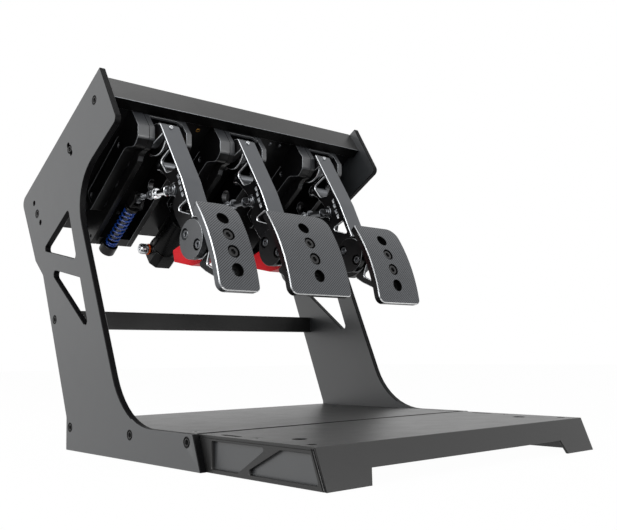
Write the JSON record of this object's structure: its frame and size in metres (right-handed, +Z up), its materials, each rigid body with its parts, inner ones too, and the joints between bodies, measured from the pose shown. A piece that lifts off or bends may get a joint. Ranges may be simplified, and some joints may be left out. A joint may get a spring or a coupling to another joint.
{
  "type": "racing pedal set",
  "caption": "Standing racing pedal set: plate side frames, floor deck and heel tray, and hanging clutch, brake and throttle pedals on spring and cylinder units.",
  "frame": {"origin": "on the floor, in the middle of the assembly's bounding box", "axes": "+Y from the heel tray towards the rear of the pedals, +Z up, +X to the driver's right"},
  "size_m": [0.44, 0.6036, 0.4611],
  "materials": {
    "frame_coat": "satin grey powder coat",
    "black_coat": "satin dark powder coat",
    "zinc": "plain zinc-plated steel",
    "black_screw": "black oxide",
    "bright_screw": "bright zinc",
    "pin_steel": "ground steel",
    "black_anodised": "black anodised, satin",
    "arm_metal": "dark anodised with bright cut edges",
    "face_metal": "dark anodised, fine diagonal ribs, bright chamfer",
    "red_anodised": "red anodised, gloss",
    "bronze": "sintered bronze",
    "rod_chrome": "bright chrome",
    "blue_spring": "blue enamel",
    "black_spring": "black enamel",
    "elastomer": "moulded, matte",
    "knob_metal": "bright turned aluminium",
    "orange_ring": "gloss orange"
  },
  "bodies": {
    "frame": {"side_plate_left": "frame_coat", "side_plate_right": "frame_coat", "mount_plate": "black_coat", "fascia": "black_coat", "crossbar": "black_coat", "floor_deck": "black_coat", "heel_tray": "black_coat", "tray_cheek_left": "black_coat", "tray_cheek_right": "black_coat", "joiner_bars": "zinc", "frame_bolts": "black_screw", "yoke_bolts": "bright_screw", "pivot_pins": "pin_steel", "rear_blocks": "black_anodised", "clutch_yoke": "black_anodised", "clutch_side_block": "black_anodised", "brake_yoke": "black_anodised", "brake_side_block": "black_anodised", "throttle_yoke": "black_anodised", "throttle_side_block": "black_anodised", "clutch_spring": "blue_spring", "throttle_spring": "black_spring", "brake_elastomers": "elastomer", "brake_cylinder": "black_anodised", "cylinder_saddle": "black_anodised", "brake_end_block": "black_anodised", "adjuster_ring": "orange_ring"},
    "clutch_pedal": {"clutch_bushes": "bronze", "clutch_arm": "arm_metal", "clutch_arm_pins": "pin_steel", "clutch_disc": "black_anodised", "clutch_clamp_block": "red_anodised", "clutch_bracket": "arm_metal", "clutch_face": "face_metal", "clutch_screws": "black_screw"},
    "clutch_rod": {"clutch_link": "rod_chrome"},
    "clutch_shaft": {"clutch_plunger": "pin_steel"},
    "brake_pedal": {"brake_bushes": "bronze", "brake_arm": "arm_metal", "brake_arm_pins": "pin_steel", "brake_disc": "black_anodised", "brake_clamp_block": "red_anodised", "brake_bracket": "arm_metal", "brake_face": "face_metal", "brake_screws": "black_screw"},
    "brake_rod": {"brake_link": "rod_chrome"},
    "brake_shaft": {"brake_plunger": "pin_steel"},
    "throttle_pedal": {"throttle_bushes": "bronze", "throttle_arm": "arm_metal", "throttle_arm_pins": "pin_steel", "throttle_disc": "black_anodised", "throttle_clamp_block": "black_anodised", "throttle_bracket": "arm_metal", "throttle_face": "face_metal", "throttle_screws": "black_screw"},
    "throttle_rod": {"throttle_link": "rod_chrome"},
    "throttle_shaft": {"throttle_plunger": "pin_steel"},
    "adjuster_knob": {"brake_adjuster": "knob_metal"}
  },
  "joints": [
    {"name": "clutch_pivot", "type": "hinge", "parent": "frame", "child": "clutch_pedal", "pos_m": [-0.1313, 0.09213, 0.39137], "axis": [1, 0, 0], "range_deg": [0, 16], "stiffness_Nm_per_rad": 15, "springref_deg": -8.59},
    {"name": "clutch_rod_end", "type": "hinge", "parent": "clutch_pedal", "child": "clutch_rod", "pos_m": [-0.1358, 0.05059, 0.31767], "axis": [1, 0, 0], "range_deg": [-21.31, 0.4]},
    {"name": "clutch_shaft_slide", "type": "slide", "parent": "frame", "child": "clutch_shaft", "axis": [0, 0.807, -0.5906], "range_m": [-0.0003, 0.02739], "deforming": ["clutch_spring"]},
    {"name": "brake_pivot", "type": "hinge", "parent": "frame", "child": "brake_pedal", "pos_m": [-0.0079, 0.09213, 0.39137], "axis": [1, 0, 0], "range_deg": [0, 6], "stiffness_Nm_per_rad": 80, "springref_deg": -2.86},
    {"name": "brake_rod_end", "type": "hinge", "parent": "brake_pedal", "child": "brake_rod", "pos_m": [-0.0149, 0.05059, 0.31767], "axis": [1, 0, 0], "range_deg": [-7.66, 0.4]},
    {"name": "brake_shaft_slide", "type": "slide", "parent": "frame", "child": "brake_shaft", "axis": [0, 0.807, -0.5906], "range_m": [-0.0003, 0.01018], "deforming": ["brake_elastomers"]},
    {"name": "throttle_pivot", "type": "hinge", "parent": "frame", "child": "throttle_pedal", "pos_m": [0.1372, 0.09213, 0.39137], "axis": [1, 0, 0], "range_deg": [0, 14], "stiffness_Nm_per_rad": 8, "springref_deg": -11.46},
    {"name": "throttle_rod_end", "type": "hinge", "parent": "throttle_pedal", "child": "throttle_rod", "pos_m": [0.1252, 0.05059, 0.31767], "axis": [1, 0, 0], "range_deg": [-18.43, 0.4]},
    {"name": "throttle_shaft_slide", "type": "slide", "parent": "frame", "child": "throttle_shaft", "axis": [0, 0.807, -0.5906], "range_m": [-0.0003, 0.02392], "deforming": ["throttle_spring"]},
    {"name": "adjuster_turn", "type": "hinge", "parent": "frame", "child": "adjuster_knob", "pos_m": [-0.0799, 0.21741, 0.26622], "axis": [1, 0, 0], "range_deg": [-150, 150]}
  ],
  "couplings": [
    {"joint": "clutch_rod_end", "follows": "clutch_pivot", "ratio": -1.3067},
    {"joint": "clutch_shaft_slide", "follows": "clutch_pivot", "m_per_rad": 0.09702},
    {"joint": "brake_rod_end", "follows": "brake_pivot", "ratio": -1.2097},
    {"joint": "brake_shaft_slide", "follows": "brake_pivot", "m_per_rad": 0.09439},
    {"joint": "throttle_rod_end", "follows": "throttle_pivot", "ratio": -1.2881},
    {"joint": "throttle_shaft_slide", "follows": "throttle_pivot", "m_per_rad": 0.09667}
  ]
}
